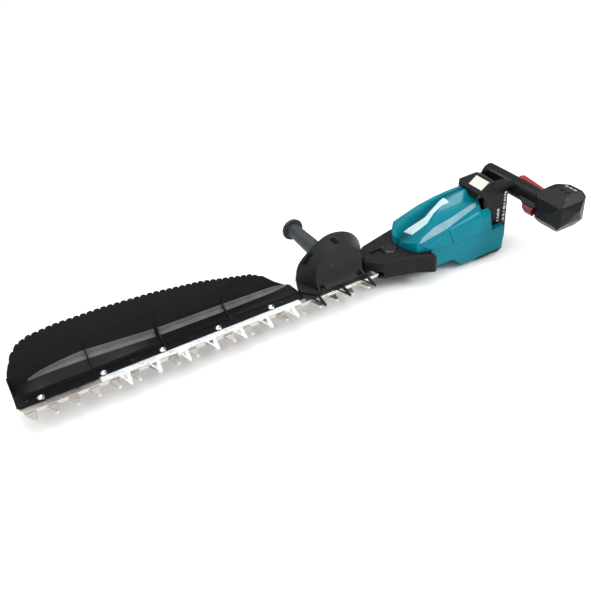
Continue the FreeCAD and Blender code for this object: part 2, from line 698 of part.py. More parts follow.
def battery_case():
    """Battery shell with rail grooves on its front face."""
    outer = box(BATTERY_X, BATTERY_Y, BATTERY_Z)
    outer = outer.makeChamfer(3.5, [e for e in outer.Edges if abs(e.Length - 113) < 0.1])
    inner = box((BATTERY_X[0] + 2.5, BATTERY_X[1] - 8), (BATTERY_Y[0] + 2.5, BATTERY_Y[1] - 2.5),
                (BATTERY_Z[0] + 2.5, BATTERY_Z[1] - 2.5))
    pocket = box((BATTERY_X[0] - 1, BATTERY_X[0] + 9), (-62.4, -37.6), (BATTERY_Z[0] + 0.6, BATTERY_Z[0] + 14.4))
    groove = box((BATTERY_X[1] - 1.0, BATTERY_X[1] + 1), (-72, -28), (-20, 84))
    ribs = [box((BATTERY_X[0] + 6, BATTERY_X[1] - 10), (y, y + 0.8), (5 + 9 * i, 10 + 9 * i))
            for i in range(9) for y in (BATTERY_Y[1] - 0.8, BATTERY_Y[0])]
    return cut_all(outer, [inner, pocket, groove] + ribs)


def battery_cells():
    """Ten cylindrical cells, five across and two deep."""
    solids = []
    for i in range(5):
        for depth in (-961.0, -942.0):
            solids.append(cyl((depth, -84.0, 7.3 + 18.7 * i), 9.1, 66, Y_AXIS))
    return Part.makeCompound(solids)


def battery_latch():
    """Press-in release button at the bottom rear of the pack."""
    return box((-974.0, -968.5), (-62, -38), (BATTERY_Z[0] + 1, BATTERY_Z[0] + 14))


# ---- rear handle ----

def turned(shape):
    """Turn a handle piece from its upright working position to its place."""
    return shape.rotate(V(TUBE_X, 0, TUBE_Z), Y_AXIS, TUBE_TURN)


def handle_shell():
    """Round tube with a swollen trigger bay, both pockets cut through."""
    outer = cyl((TUBE_X, TUBE_Y[0], TUBE_Z), TUBE_R, TUBE_Y[1] - TUBE_Y[0], Y_AXIS)
    bay = plate([(-4, 4), (12, 4), (26, 24), (26, 60), (-4, 60)], "xy", TUBE_Z - 11, TUBE_Z + 11)
    bay = bay.translate(V(TUBE_X, 0, 0))
    inner = cyl((TUBE_X, TUBE_Y[0] + 3, TUBE_Z), TUBE_R - WALL, TUBE_Y[1] - TUBE_Y[0] - 3, Y_AXIS)
    bay_room = box((TUBE_X - 2, TUBE_X + 28), (27.5, 57.5), (TUBE_Z - 8.3, TUBE_Z + 8.3))
    lever_room = box((TUBE_X - 24, TUBE_X - 8), (-31, 47), (TUBE_Z - 5.3, TUBE_Z + 5.3))
    return cut_all(fuse([outer, bay]), [inner, bay_room, lever_room])


def handle_upper():
    half = box((TUBE_X - 40, TUBE_X + 40), (-120, 80), (TUBE_Z, TUBE_Z + 40))
    return turned(largest(handle_shell().common(half)))


def handle_lower():
    half = box((TUBE_X - 40, TUBE_X + 40), (-120, 80), (TUBE_Z - 40, TUBE_Z))
    return turned(largest(handle_shell().common(half)))


def trigger():
    """Finger trigger in the front of the handle."""
    face = plate([(12, 28.5), (30, 28.5), (35, 34), (35, 56), (12, 56)], "xy", TUBE_Z - 8, TUBE_Z + 8)
    return turned(face.translate(V(TUBE_X, 0, 0)))


def lock_off_lever():
    """Long red bar on the back of the handle."""
    bar = plate([(-13, -30), (-23, -30), (-28, -22), (-22, 40), (-18, 46), (-13, 46)], "xy",
                TUBE_Z - 5, TUBE_Z + 5)
    return turned(bar.translate(V(TUBE_X, 0, 0)))


def handle_switch():
    """Switch module inside the tube, between lever and trigger."""
    return turned(box((TUBE_X - 6.5, TUBE_X + 6.5), (16, 52), (TUBE_Z - 8, TUBE_Z + 8)))


def handle_carrier():
    """Inner frame that holds the switch against the tube."""
    wall = box((TUBE_X - 7.5, TUBE_X + 7.5), (12, 15.9), (TUBE_Z - 14, TUBE_Z + 14))
    return turned(wall)


# ---- control pod ----

POD_X = -1000.0
POD_Z = 92.0
POD_TOP = 30.0                   # top face above the pod's middle height
POD_BALL = 52.5
POD_SCREWS = [(80.0, 62.0), (112.0, 66.0)]
POD_SIDE = [(-38, -18), (-40, 8), (-33, POD_TOP), (6, POD_TOP), (30, 16), (38, 0), (34, -23), (20, -41), (-16, -43)]
POD_FACE = [(54, -30), (54, 14), (66, POD_TOP), (114, POD_TOP), (127, 18), (134, 2), (130, -19), (118, -38),
            (102, -43), (74, -43)]
POD_PLAN = [(-40, 92), (-20, 70), (6, 56), (22, 55), (32, 69), (40, 88), (40, 104), (27, 128), (-10, 135),
            (-34, 124), (-40, 108)]
PANEL_X = (POD_X - 29.0, POD_X + 3.0)
PANEL_Y = (80.0, 112.0)
PANEL_Z = POD_Z + POD_TOP - 1.0
BUTTON_X = POD_X - 9.0
POWER_Y = 88.0
MODE_Y = 104.0
LAMP_X = (POD_X - 25.0, POD_X - 21.0)
LAMP_Y = [82.5, 92.5, 102.5]


def pod_solid(distance):
    side = plate([(POD_X + a, POD_Z + b) for a, b in inset(POD_SIDE, distance)], "xz", 50, 150)
    face = plate([(a, POD_Z + b) for a, b in inset(POD_FACE, distance)], "yz", POD_X - 60, POD_X + 60)
    plan = plate([(POD_X + a, b) for a, b in inset(POD_PLAN, distance)], "xy", 20, 160)
    ball = Part.makeSphere(POD_BALL - distance, V(POD_X, 96, POD_Z - 1))
    return side.common(face).common(plan).common(ball)


def pod_shell():
    shell = pod_solid(0).cut(pod_solid(WALL))
    posts = [cyl((POD_X - 24, y, z), 5.0, 46, V(1, 0, 0)) for y, z in POD_SCREWS]
    shell = fuse([shell] + [post.common(pod_solid(0.5)) for post in posts])
    entry = turned(cyl((TUBE_X, 50, TUBE_Z), TUBE_R, TUBE_Y[1] - 50, Y_AXIS))
    trigger_gap = turned(box((TUBE_X - 5, TUBE_X + 38), (50, 61), (TUBE_Z - 11.2, TUBE_Z + 11.2)))
    panel_seat = box(PANEL_X, PANEL_Y, (PANEL_Z, PANEL_Z + 2))
    ports = [cyl((BUTTON_X, POWER_Y, PANEL_Z - 7), 5.3, 10), cyl((BUTTON_X, MODE_Y, PANEL_Z - 7), 4.3, 10)]
    return cut_all(shell, [entry, trigger_gap, panel_seat, pod_screws()] + ports)


def pod_front():
    return largest(pod_shell().common(box((POD_X, POD_X + 60), (40, 160), (20, 160))))


def pod_rear():
    return largest(pod_shell().common(box((POD_X - 60, POD_X), (40, 160), (20, 160))))


def control_panel():
    """Recessed panel with holes for two buttons and three lamps."""
    slab = box(PANEL_X, PANEL_Y, (PANEL_Z, PANEL_Z + 1.3))
    tools = [cyl((BUTTON_X, POWER_Y, PANEL_Z - 7), 5.3, 12), cyl((BUTTON_X, MODE_Y, PANEL_Z - 7), 4.3, 12)]
    tools += [box(LAMP_X, (y, y + 7), (PANEL_Z - 1, PANEL_Z + 3)) for y in LAMP_Y]
    return cut_all(slab, tools)


def status_lamps():
    return Part.makeCompound([box(LAMP_X, (y, y + 7), (PANEL_Z, PANEL_Z + 1.6)) for y in LAMP_Y])


def button(y, radius):
    stem = cyl((BUTTON_X, y, PANEL_Z - 6), radius, 8.4)
    collar = cyl((BUTTON_X, y, PANEL_Z - 6), radius + 1.2, 1.5)
    return stem.fuse(collar).removeSplitter()


def power_button():
    return button(POWER_Y, 5.0)


def mode_button():
    return button(MODE_Y, 4.0)


def pod_screws():
    """Screws that join the two pod halves."""
    return Part.makeCompound([cyl((POD_X - 18, y, z), 2.0, 34, V(1, 0, 0)) for y, z in POD_SCREWS])


NODES = {
    "guide_bar": guide_bar,
    "upper_shear_blade": lambda: shear_blade(UPPER_Z),
    "lower_shear_blade": lambda: shear_blade(LOWER_Z),
    "guard_comb": guard_comb,
    "front_guard_comb": front_guard_comb,
    "blade_bolts": blade_bolts,
    "blade_washers": blade_washers,
    "blade_nuts": blade_nuts,
    "chip_receiver": chip_receiver,
    "tray_screws": tray_screws,
    "hand_guard": hand_guard,
    "guard_bolts": guard_bolts,
    "front_handle_core": front_handle_core,
    "front_handle_grip": front_handle_grip,
    "front_handle_bolt": front_handle_bolt,
    "gear_case_lower": gear_case_lower,
    "gear_case_upper": gear_case_upper,
    "gear_case_screws": gear_case_screws,
    "case_cap": case_cap,
    "blade_seal": blade_seal,
    "crank_gear": crank_gear,
    "idler_gear": idler_gear,
    "idler_pin": idler_pin,
    "crank_bearing": crank_bearing,
    "motor_shaft": motor_shaft,
    "motor_rotor": motor_rotor,
    "motor_stator": motor_stator,
    "motor_windings": motor_windings,
    "cooling_fan": cooling_fan,
    "motor_bearings": motor_bearings,
    "motor_frame": motor_frame,
    "housing_near": housing_near,
    "housing_far": housing_far,
    "housing_screws": housing_screws,
    "controller": controller,
    "terminal_block": terminal_block,
    "rubber_feet": rubber_feet,
    "rear_cap": rear_cap,
    "cap_plate": cap_plate,
    "battery_case": battery_case,
    "battery_cells": battery_cells,
    "battery_latch": battery_latch,
    "handle_upper": handle_upper,
    "handle_lower": handle_lower,
    "trigger": trigger,
    "lock_off_lever": lock_off_lever,
    "handle_switch": handle_switch,
    "handle_carrier": handle_carrier,
    "pod_front": pod_front,
    "pod_rear": pod_rear,
    "control_panel": control_panel,
    "status_lamps": status_lamps,
    "power_button": power_button,
    "mode_button": mode_button,
    "pod_screws": pod_screws,
}


def build_all():
    return {name: make() for name, make in NODES.items()}


def origin_shift(shapes):
    """Move that brings the bottom centre of the whole box to the origin."""
    points = Part.makeCompound(list(shapes.values())).tessellate(0.1)[0]
    xs = [p.x for p in points]
    ys = [p.y for p in points]
    lowest = min(p.z for p in points)
    return V(-round((min(xs) + max(xs)) / 2, 2), -round((min(ys) + max(ys)) / 2, 2), -round(lowest, 2))


def main():
    os.makedirs("parts", exist_ok=True)
    shapes = build_all()
    shift = origin_shift(shapes)
    for name, shape in shapes.items():
        shape.translate(shift)
        shape.exportStep("parts/" + name + ".step")


if __name__ == "__main__":
    main()
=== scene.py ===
"""Looks of the battery hedge trimmer: materials, softened edges, surface details, floor, light and camera.

Metres in the part's own frame: +X runs to the blade tip, +Y to the cutting teeth, +Z up.
"""
import math
import bmesh
import bpy
from mathutils import Matrix, Vector
from mathutils.bvhtree import BVHTree


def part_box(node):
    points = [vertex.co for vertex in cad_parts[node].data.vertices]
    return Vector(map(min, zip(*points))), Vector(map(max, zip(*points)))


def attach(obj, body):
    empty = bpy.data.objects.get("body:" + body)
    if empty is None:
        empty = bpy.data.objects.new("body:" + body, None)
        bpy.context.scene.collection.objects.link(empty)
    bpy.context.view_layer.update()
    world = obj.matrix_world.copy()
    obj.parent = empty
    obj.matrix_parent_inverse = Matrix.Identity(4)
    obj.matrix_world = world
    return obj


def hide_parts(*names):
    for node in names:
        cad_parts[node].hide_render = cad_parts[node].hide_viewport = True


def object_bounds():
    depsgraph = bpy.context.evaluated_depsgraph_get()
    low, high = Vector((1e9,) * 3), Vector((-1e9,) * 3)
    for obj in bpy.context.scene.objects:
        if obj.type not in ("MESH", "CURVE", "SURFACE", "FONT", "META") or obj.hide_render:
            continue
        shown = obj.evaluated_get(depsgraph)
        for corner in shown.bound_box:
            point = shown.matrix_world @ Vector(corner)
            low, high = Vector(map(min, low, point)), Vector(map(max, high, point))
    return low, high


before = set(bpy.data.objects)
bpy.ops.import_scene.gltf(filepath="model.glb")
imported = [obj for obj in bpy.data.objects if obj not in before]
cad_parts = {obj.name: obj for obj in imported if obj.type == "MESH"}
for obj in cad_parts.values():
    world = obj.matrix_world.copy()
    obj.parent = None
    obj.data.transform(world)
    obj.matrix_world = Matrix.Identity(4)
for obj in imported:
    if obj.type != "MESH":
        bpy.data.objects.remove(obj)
CAD_LOW, CAD_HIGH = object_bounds()

MM = 0.001

# The first tooth's tip at rest, in millimetres inside the receiver's end, beyond the battery's near side
# and above the bottom of the feet
TIP_INSIDE_RECEIVER = 18
TIP_BEYOND_BATTERY = 12.5
TIP_ABOVE_FEET = 43.5
TOOTH_TIP = Vector((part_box("chip_receiver")[1].x - TIP_INSIDE_RECEIVER * MM,
                    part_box("battery_case")[1].y + TIP_BEYOND_BATTERY * MM,
                    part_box("rubber_feet")[0].z + TIP_ABOVE_FEET * MM))

# Camera place from the first tooth's tip, and the directions of its own three axes
CAMERA_OFFSET = Vector((-20.985, 957.489, 814.297)) * MM
CAMERA_RIGHT = Vector((-0.87323, 0.48079, -0.07977))
CAMERA_UP = Vector((-0.34033, -0.48452, 0.80584))
CAMERA_BACK = Vector((0.34884, 0.73083, 0.58673))
CAMERA_LENS = 45.05
CAMERA_SENSOR = 36.0

# Range of a noise's output that is spread over a whole change of gloss
NOISE_LOW = 0.3
NOISE_HIGH = 0.7

# Directions in which bands are pressed onto a surface
FROM_ABOVE = (0, 0, -1)
FROM_NEAR_SIDE = (0, -1, 0)
FROM_FAR_SIDE = (0, 1, 0)
FROM_TIP_END = (-1, 0, 0)

# How far a band's border is sunk, how high a flat mark stands and how far rays look for the surface,
# in millimetres
BAND_SINK = 0.3
MARK_LIFT = 0.15
RAY_LENGTH = 200

# Share of a band's width that each narrow rim takes
BAND_RIM = 0.04


def at(x, y, z):
    """Point in the frame from millimetres measured from the first tooth tip."""
    return TOOTH_TIP + Vector((x, y, z)) * MM


def new_object(name, data):
    """Object for a mesh, lamp or camera, linked to the scene."""
    obj = bpy.data.objects.new(name, data)
    bpy.context.scene.collection.objects.link(obj)
    return obj


# ---- shader building ----

def new_material(name):
    """Empty node material with its Principled shader."""
    material = bpy.data.materials.new(name)
    material.use_nodes = True
    shader = material.node_tree.nodes["Principled BSDF"]
    return material, material.node_tree, shader


def object_coords(tree, stretch=(1, 1, 1)):
    """Texture coordinates in metres, stretched along the part's own axes."""
    source = tree.nodes.new("ShaderNodeTexCoord")
    mapping = tree.nodes.new("ShaderNodeMapping")
    mapping.inputs["Scale"].default_value = stretch
    tree.links.new(source.outputs["Object"], mapping.inputs["Vector"])
    return mapping.outputs["Vector"]


def noise(tree, coords, scale, detail=3.0, roughness=0.55):
    """Cloudy noise with so many features in a metre."""
    node = tree.nodes.new("ShaderNodeTexNoise")
    node.inputs["Scale"].default_value = scale
    node.inputs["Detail"].default_value = detail
    node.inputs["Roughness"].default_value = roughness
    tree.links.new(coords, node.inputs["Vector"])
    return node.outputs["Fac"]


def cells(tree, coords, scale):
    """Distance to the middle of small round cells."""
    node = tree.nodes.new("ShaderNodeTexVoronoi")
    node.inputs["Scale"].default_value = scale
    tree.links.new(coords, node.inputs["Vector"])
    return node.outputs["Distance"]


def ramp(tree, factor, stops):
    """Colour ramp from (position, colour) stops."""
    node = tree.nodes.new("ShaderNodeValToRGB")
    band = node.color_ramp
    while len(band.elements) < len(stops):
        band.elements.new(0.5)
    for element, (position, colour) in zip(band.elements, stops):
        element.position = position
        element.color = (*colour, 1.0)
    tree.links.new(factor, node.inputs["Fac"])
    return node.outputs["Color"]


def span(tree, factor, low, high):
    """Value between low and high as a noise runs over its usual range."""
    node = tree.nodes.new("ShaderNodeMapRange")
    node.inputs["From Min"].default_value = NOISE_LOW
    node.inputs["From Max"].default_value = NOISE_HIGH
    node.inputs["To Min"].default_value = low
    node.inputs["To Max"].default_value = high
    tree.links.new(factor, node.inputs["Value"])
    return node.outputs["Result"]


def bump(tree, height, strength, distance, shader, under=None):
    """Surface relief of a given depth in metres, laid over another relief if one is given."""
    node = tree.nodes.new("ShaderNodeBump")
    node.inputs["Strength"].default_value = strength
    node.inputs["Distance"].default_value = distance
    tree.links.new(height, node.inputs["Height"])
    if under is not None:
        tree.links.new(under, node.inputs["Normal"])
    tree.links.new(node.outputs["Normal"], shader.inputs["Normal"])
    return node.outputs["Normal"]


def shade(colour, factor):
    """Lighter or darker form of a colour."""
    return tuple(min(1.0, channel * factor) for channel in colour)


def tint(tree, shader, factor, stops):
    """Base colour that follows a factor through (position, colour) stops."""
    tree.links.new(ramp(tree, factor, stops), shader.inputs["Base Color"])


def gloss(tree, shader, factor, low, high):
    """Roughness between low and high that follows a noise."""
    tree.links.new(span(tree, factor, low, high), shader.inputs["Roughness"])


def moulded(name, colour, roughness, grain=0.25, grain_size=0.0006, coat=0.0, variety=0.08, shine=0.5):
    """Moulded plastic: faint cloudy colour, uneven gloss and a fine sparked texture."""
    material, tree, shader = new_material(name)
    coords = object_coords(tree)
    cloud = noise(tree, coords, 26.0, 4.0)
    tint(tree, shader, cloud, [(0.3, shade(colour, 1 - variety)), (0.7, shade(colour, 1 + variety))])
    gloss(tree, shader, noise(tree, coords, 90.0, 5.0), roughness - 0.05, roughness + 0.07)
    soft = bump(tree, cloud, 0.08, 0.0008, shader)
    bump(tree, noise(tree, coords, 0.5 / grain_size, 2.0), grain, grain_size * 0.3, shader, soft)
    shader.inputs["Specular IOR Level"].default_value = shine
    shader.inputs["Coat Weight"].default_value = coat
    shader.inputs["Coat Roughness"].default_value = 0.06
    return material


def brushed(name, colour, roughness, lines=(3, 260, 260), strength=0.25):
    """Rolled or ground metal with fine lines along one direction and faint stains."""
    material, tree, shader = new_material(name)
    streaks = noise(tree, object_coords(tree, lines), 9.0, 6.0, 0.7)
    stains = noise(tree, object_coords(tree), 22.0, 5.0)
    tint(tree, shader, streaks, [(0.3, shade(colour, 0.8)), (0.55, colour), (0.75, shade(colour, 1.15))])
    gloss(tree, shader, stains, roughness - 0.07, roughness + 0.1)
    bump(tree, streaks, strength, 0.00008, shader)
    shader.inputs["Metallic"].default_value = 1.0
    return material


def plated(name, colour, roughness, metallic=1.0, spots=0.25):
    """Plated or blackened metal: fine spangle, soft blotches and a slightly uneven skin."""
    material, tree, shader = new_material(name)
    coords = object_coords(tree)
    spangle = cells(tree, coords, 420.0)
    blotch = noise(tree, coords, 70.0, 5.0)
    tint(tree, shader, blotch, [(0.3, shade(colour, 1 - spots)), (0.65, colour)])
    gloss(tree, shader, blotch, roughness - 0.08, roughness + 0.1)
    bump(tree, spangle, 0.12, 0.0001, shader)
    shader.inputs["Metallic"].default_value = metallic
    return material


def rubbery(name, colour, roughness=0.62):
    """Soft matt rubber with a fine dimpled skin."""
    material, tree, shader = new_material(name)
    coords = object_coords(tree)
    cloud = noise(tree, coords, 40.0, 4.0)
    tint(tree, shader, cloud, [(0.3, shade(colour, 0.8)), (0.7, shade(colour, 1.2))])
    gloss(tree, shader, cloud, roughness - 0.08, roughness + 0.08)
    bump(tree, cells(tree, coords, 900.0), 0.35, 0.00025, shader)
    return material


def felted(name, colour):
    """Pressed wool: long tangled fibres."""
    material, tree, shader = new_material(name)
    fibres = noise(tree, object_coords(tree, (1, 4, 4)), 700.0, 6.0, 0.8)
    tint(tree, shader, fibres, [(0.35, shade(colour, 0.6)), (0.65, shade(colour, 1.3))])
    bump(tree, fibres, 0.7, 0.0005, shader)
    shader.inputs["Roughness"].default_value = 0.95
    shader.inputs["Sheen Weight"].default_value = 0.4
    return material


def wound(name, colour):
    """Enamelled wire lying side by side."""
    material, tree, shader = new_material(name)
    wave = tree.nodes.new("ShaderNodeTexWave")
    wave.bands_direction = "Z"
    wave.inputs["Scale"].default_value = 330.0
    wave.inputs["Distortion"].default_value = 0.6
    tree.links.new(object_coords(tree), wave.inputs["Vector"])
    turns = wave.outputs["Fac"]
    tint(tree, shader, turns, [(0.1, shade(colour, 0.45)), (0.8, colour)])
    bump(tree, turns, 0.6, 0.0003, shader)
    shader.inputs["Metallic"].default_value = 0.8
    shader.inputs["Roughness"].default_value = 0.32
    return material


TEAL = (0.0, 0.165, 0.215)

MATERIALS = {
    "teal": moulded("teal_gloss", TEAL, 0.3, grain=0.05, grain_size=0.0009, coat=0.1, variety=0.05,
                    shine=0.08),
    "black_guard": moulded("guard_black", (0.013, 0.0135, 0.0135), 0.45, grain=0.35, shine=0.18),
    "black_case": moulded("case_black", (0.01, 0.0105, 0.0105), 0.42, grain=0.3, grain_size=0.0005,
                          shine=0.13),
    "black_receiver": moulded("receiver_black", (0.006, 0.0066, 0.007), 0.32, grain=0.12, shine=0.12),
    "black_gloss": moulded("gloss_black", (0.003, 0.003, 0.0035), 0.2, grain=0.04, coat=0.4, shine=0.3),
    "black_handle": moulded("handle_black", (0.008, 0.009, 0.0095), 0.34, grain=0.3, grain_size=0.0007,
                            shine=0.13),
    "black_battery": moulded("battery_black", (0.0025, 0.0025, 0.003), 0.34, grain=0.15, coat=0.05,
                             shine=0.15),
    "grip_rubber": rubbery("grip_rubber", (0.022, 0.029, 0.032)),
    "feet_rubber": rubbery("feet_rubber", (0.012, 0.012, 0.012), 0.7),
    "bar_steel": brushed("bar_steel", (0.6, 0.57, 0.52), 0.3),
    "blade_steel": brushed("blade_steel", (0.68, 0.65, 0.61), 0.3, strength=0.35),
    "zinc": plated("zinc_plate", (0.86, 0.89, 0.91), 0.28, metallic=0.35, spots=0.06),
    "chrome": plated("chrome_plate", (0.5, 0.52, 0.54), 0.12, spots=0.1),
    "black_steel": plated("black_oxide", (0.03, 0.03, 0.032), 0.32, metallic=0.6),
    "gear_steel": brushed("gear_steel", (0.42, 0.41, 0.4), 0.34, lines=(120, 120, 20)),
    "magnet": plated("magnet_grey", (0.22, 0.22, 0.23), 0.3),
    "frame_alloy": plated("cast_alloy", (0.62, 0.63, 0.65), 0.45, spots=0.2),
    "cell_wrap": moulded("cell_wrap", (0.02, 0.09, 0.16), 0.3, grain=0.1),
    "felt": felted("felt_grey", (0.2, 0.2, 0.19)),
    "copper": wound("copper_wire", (0.72, 0.3, 0.13)),
    "pale_plate": moulded("pale_plate", (0.6, 0.63, 0.57), 0.3, grain=0.1, variety=0.04, shine=0.2),
    "trigger_red": moulded("trigger_red", (0.13, 0.008, 0.01), 0.35, grain=0.15, shine=0.3),
    "lever_red": moulded("lever_red", (0.3, 0.01, 0.014), 0.3, grain=0.12, shine=0.25),
    "lamp_grey": moulded("lamp_grey", (0.3, 0.32, 0.33), 0.2, grain=0.05, coat=0.5),
    # Paler teal and blue-grey painted highlights for the raised bands on the housing's crown and shoulder
    "pale_painted_highlight": moulded("pale_painted_highlight", (0.42, 0.58, 0.62), 0.4, grain=0.04, variety=0.2, shine=0.3),
    "blue_painted_highlight": moulded("blue_painted_highlight", (0.17, 0.31, 0.36), 0.45, grain=0.04, variety=0.2, shine=0.2),
    "print_white": moulded("print_white", (0.55, 0.56, 0.58), 0.4, grain=0.1, variety=0.06),
    # Dark grey painted highlight for the strip along the receiver's crease
    "tray_painted_highlight": moulded("tray_painted_highlight", (0.09, 0.095, 0.1), 0.3, grain=0.1, variety=0.25, shine=0.3),
    # Near-black painted shade for the guard pockets, the cooling slots and the screw pockets
    "painted_pocket_shade": moulded("painted_pocket_shade", (0.002, 0.002, 0.002), 0.6, grain=0.2, shine=0.1),
}

# Material, width of the rounded edges in millimetres (0 leaves them as packed), nodes
FINISHES = [
    ("bar_steel", 0.25, ["guide_bar", "front_handle_core", "idler_pin"]),
    ("blade_steel", 0.2, ["upper_shear_blade", "lower_shear_blade"]),
    ("zinc", 0.3, ["guard_comb", "blade_washers"]),
    ("black_steel", 0.3, ["front_guard_comb", "guard_bolts", "tray_screws", "gear_case_screws",
                          "housing_screws", "front_handle_bolt", "pod_screws"]),
    ("chrome", 0.4, ["blade_bolts", "blade_nuts"]),
    ("black_receiver", 0.5, ["chip_receiver"]),
    ("black_guard", 1.6, ["hand_guard"]),
    ("black_handle", 1.2, ["handle_upper", "handle_lower", "pod_front", "pod_rear"]),
    ("black_case", 1.6, ["gear_case_upper", "gear_case_lower", "rear_cap"]),
    ("black_gloss", 0.5, ["case_cap", "control_panel", "power_button", "mode_button", "handle_switch",
                          "terminal_block", "handle_carrier", "cooling_fan", "controller"]),
    ("black_battery", 0.8, ["battery_case", "battery_latch"]),
    ("grip_rubber", 0.8, ["front_handle_grip"]),
    ("feet_rubber", 0.8, ["rubber_feet"]),
    ("felt", 0.0, ["blade_seal"]),
    ("gear_steel", 0.2, ["crank_gear", "idler_gear", "motor_shaft", "crank_bearing", "motor_bearings",
                         "motor_stator"]),
    ("magnet", 0.2, ["motor_rotor"]),
    ("copper", 0.5, ["motor_windings"]),
    ("frame_alloy", 0.4, ["motor_frame"]),
    ("pale_plate", 0.2, ["cap_plate"]),
    ("cell_wrap", 0.6, ["battery_cells"]),
    ("trigger_red", 0.8, ["trigger"]),
    ("lever_red", 0.8, ["lock_off_lever"]),
    ("lamp_grey", 0.1, ["status_lamps"]),
]

EDGE_ANGLE = math.radians(24)
WELD_DISTANCE = 0.00001


def paint(obj, material):
    """Gives an object one of the named materials and no other."""
    obj.data.materials.clear()
    obj.data.materials.append(MATERIALS[material])


def even_shading(obj):
    """Lets large faces set the shading, so rounded edges read crisply."""
    even = obj.modifiers.new("even", "WEIGHTED_NORMAL")
    even.keep_sharp = True
    even.weight = 80


def soften(obj, width):
    """Joins the mesh at its edges, rounds every sharp edge and evens the shading."""
    weld = obj.modifiers.new("join", "WELD")
    weld.merge_threshold = WELD_DISTANCE
    if width:
        bevel = obj.modifiers.new("edge", "BEVEL")
        bevel.width = width * MM
        bevel.segments = 3
        bevel.limit_method = "ANGLE"
        bevel.angle_limit = EDGE_ANGLE
        bevel.use_clamp_overlap = True
        bevel.miter_outer = "MITER_ARC"
    even_shading(obj)


def finish_nodes():
    """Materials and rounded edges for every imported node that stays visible."""
    for material, width, names in FINISHES:
        for name in names:
            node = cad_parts[name]
            paint(node, material)
            soften(node, width)


# ---- built pieces ----

def make_object(name, shape):
    """Object from a bmesh, with its faces turned outward."""
    bmesh.ops.recalc_face_normals(shape, faces=shape.faces)
    mesh = bpy.data.meshes.new(name)
    shape.to_mesh(mesh)
    shape.free()
    return new_object(name, mesh)


def bake(obj):
    """Replaces the object's mesh with its finished form and clears its modifiers."""
    state = bpy.context.evaluated_depsgraph_get()
    state.update()
    mesh = bpy.data.meshes.new_from_object(obj.evaluated_get(state))
    obj.modifiers.clear()
    obj.data = mesh


def prism(name, points, plane, low, high):
    """Outline in millimetres in the xy, xz or yz plane, pushed across it from low to high."""
    place = {"xy": at,
             "xz": lambda a, b, c: at(a, c, b),
             "yz": lambda a, b, c: at(c, a, b)}[plane]
    shape = bmesh.new()
    rings = [[shape.verts.new(place(a, b, c)) for a, b in points] for c in (low, high)]
    for ring in rings:
        shape.faces.new(ring)
    for i in range(len(points)):
        shape.faces.new((rings[0][i - 1], rings[0][i], rings[1][i], rings[1][i - 1]))
    return make_object(name, shape)


def combine(base, tool, operation):
    """Boolean of two objects; the tool is used up."""
    cut = base.modifiers.new("combine", "BOOLEAN")
    cut.object = tool
    cut.operation = operation
    cut.solver = "EXACT"
    bake(base)
    bpy.data.objects.remove(tool)


def show(obj, material, body="trimmer"):
    """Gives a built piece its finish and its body."""
    paint(obj, material)
    for face in obj.data.polygons:
        face.use_smooth = True
    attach(obj, body)


# ---- housing ----

HOUSING_SIDE = [(-733, 29), (-736, 42), (-760, 60), (-790, 79), (-826, 98), (-850, 104), (-888, 107),
                (-888, 96), (-905, 96), (-905, 80), (-920, 70), (-925, 58), (-925, 20), (-956, 20),
                (-960, 14), (-956, -34), (-948, -41), (-860, -41), (-830, -14), (-778, -13), (-776, 29)]
HOUSING_PLAN = [(-733, -62), (-734, -42), (-740, -22), (-748, -7), (-770, 0), (-860, 2), (-965, 0),
                (-965, -100), (-860, -102), (-770, -101), (-756, -98), (-742, -84), (-735, -72)]
HOUSING_SECTION = [(-92, -45), (-102, -32), (-102, 22), (-94, 56), (-78, 84), (-60, 106), (-40, 106),
                   (-22, 84), (-6, 56), (2, 22), (2, -32), (-8, -45)]
BAY_PLAN = [(-990, -88), (-905, -88), (-905, -12), (-990, -12)]
CENTRE_Y = -50.0
HOUSING_EDGE = 3.6
HOUSING_EDGE_ANGLE = math.radians(18)


def housing_block():
    """Housing volume from its side, plan and cross outlines, with the battery bay cut out.

    Each outline is pushed past the ends of the others.
    """
    block = prism("housing", HOUSING_SIDE, "xz", -110, 10)
    combine(block, prism("plan", HOUSING_PLAN, "xy", -60, 130), "INTERSECT")
    combine(block, prism("section", HOUSING_SECTION, "yz", -970, -730), "INTERSECT")
    combine(block, prism("bay", BAY_PLAN, "xy", -60, 200), "DIFFERENCE")
    return block


def round_housing(block):
    """Full round on every edge of the housing, built into its mesh."""
    bevel = block.modifiers.new("edge", "BEVEL")
    bevel.width = HOUSING_EDGE * MM
    bevel.segments = 4
    bevel.limit_method = "ANGLE"
    bevel.angle_limit = HOUSING_EDGE_ANGLE
    bake(block)


def half_of(obj, name, side):
    """Part of a solid on one side of the centre plane, closed along the cut."""
    shape = bmesh.new()
    shape.from_mesh(obj.data)
    cut = bmesh.ops.bisect_plane(shape, geom=shape.verts[:] + shape.edges[:] + shape.faces[:],
                                 plane_co=at(0, CENTRE_Y, 0), plane_no=(0, side, 0), clear_inner=True)
    edges = [item for item in cut["geom_cut"] if isinstance(item, bmesh.types.BMEdge)]
    bmesh.ops.holes_fill(shape, edges=edges)
    return make_object(name, shape)


def build_housing():
    """Two teal shells with full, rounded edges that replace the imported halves; returns their surface."""
    block = housing_block()
    round_housing(block)
    for node, side in (("housing_near", 1), ("housing_far", -1)):
        shell = half_of(block, node + "_shell", side)
        show(shell, "teal")
        even_shading(shell)
        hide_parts(node)
    tree = surface(block)
    bpy.data.objects.remove(block)
    return tree


# ---- bands and patches laid on a surface ----

def surface(obj):
    """Search tree over an object's mesh at rest."""
    shape = bmesh.new()
    shape.from_mesh(obj.data)
    tree = BVHTree.FromBMesh(shape)
    shape.free()
    return tree


def steps_with_rim(count, rim):
    """Even steps from 0 to 1 with one extra narrow step at each end."""
    return [0.0] + [rim + (1 - 2 * rim) * i / count for i in range(count + 1)] + [1.0]


def point_on(line, share):
    """Point at a share of an open line's corners, from 0 to 1."""
    place = share * (len(line) - 1)
    k = min(int(place), len(line) - 2)
    return line[k].lerp(line[k + 1], place - k)


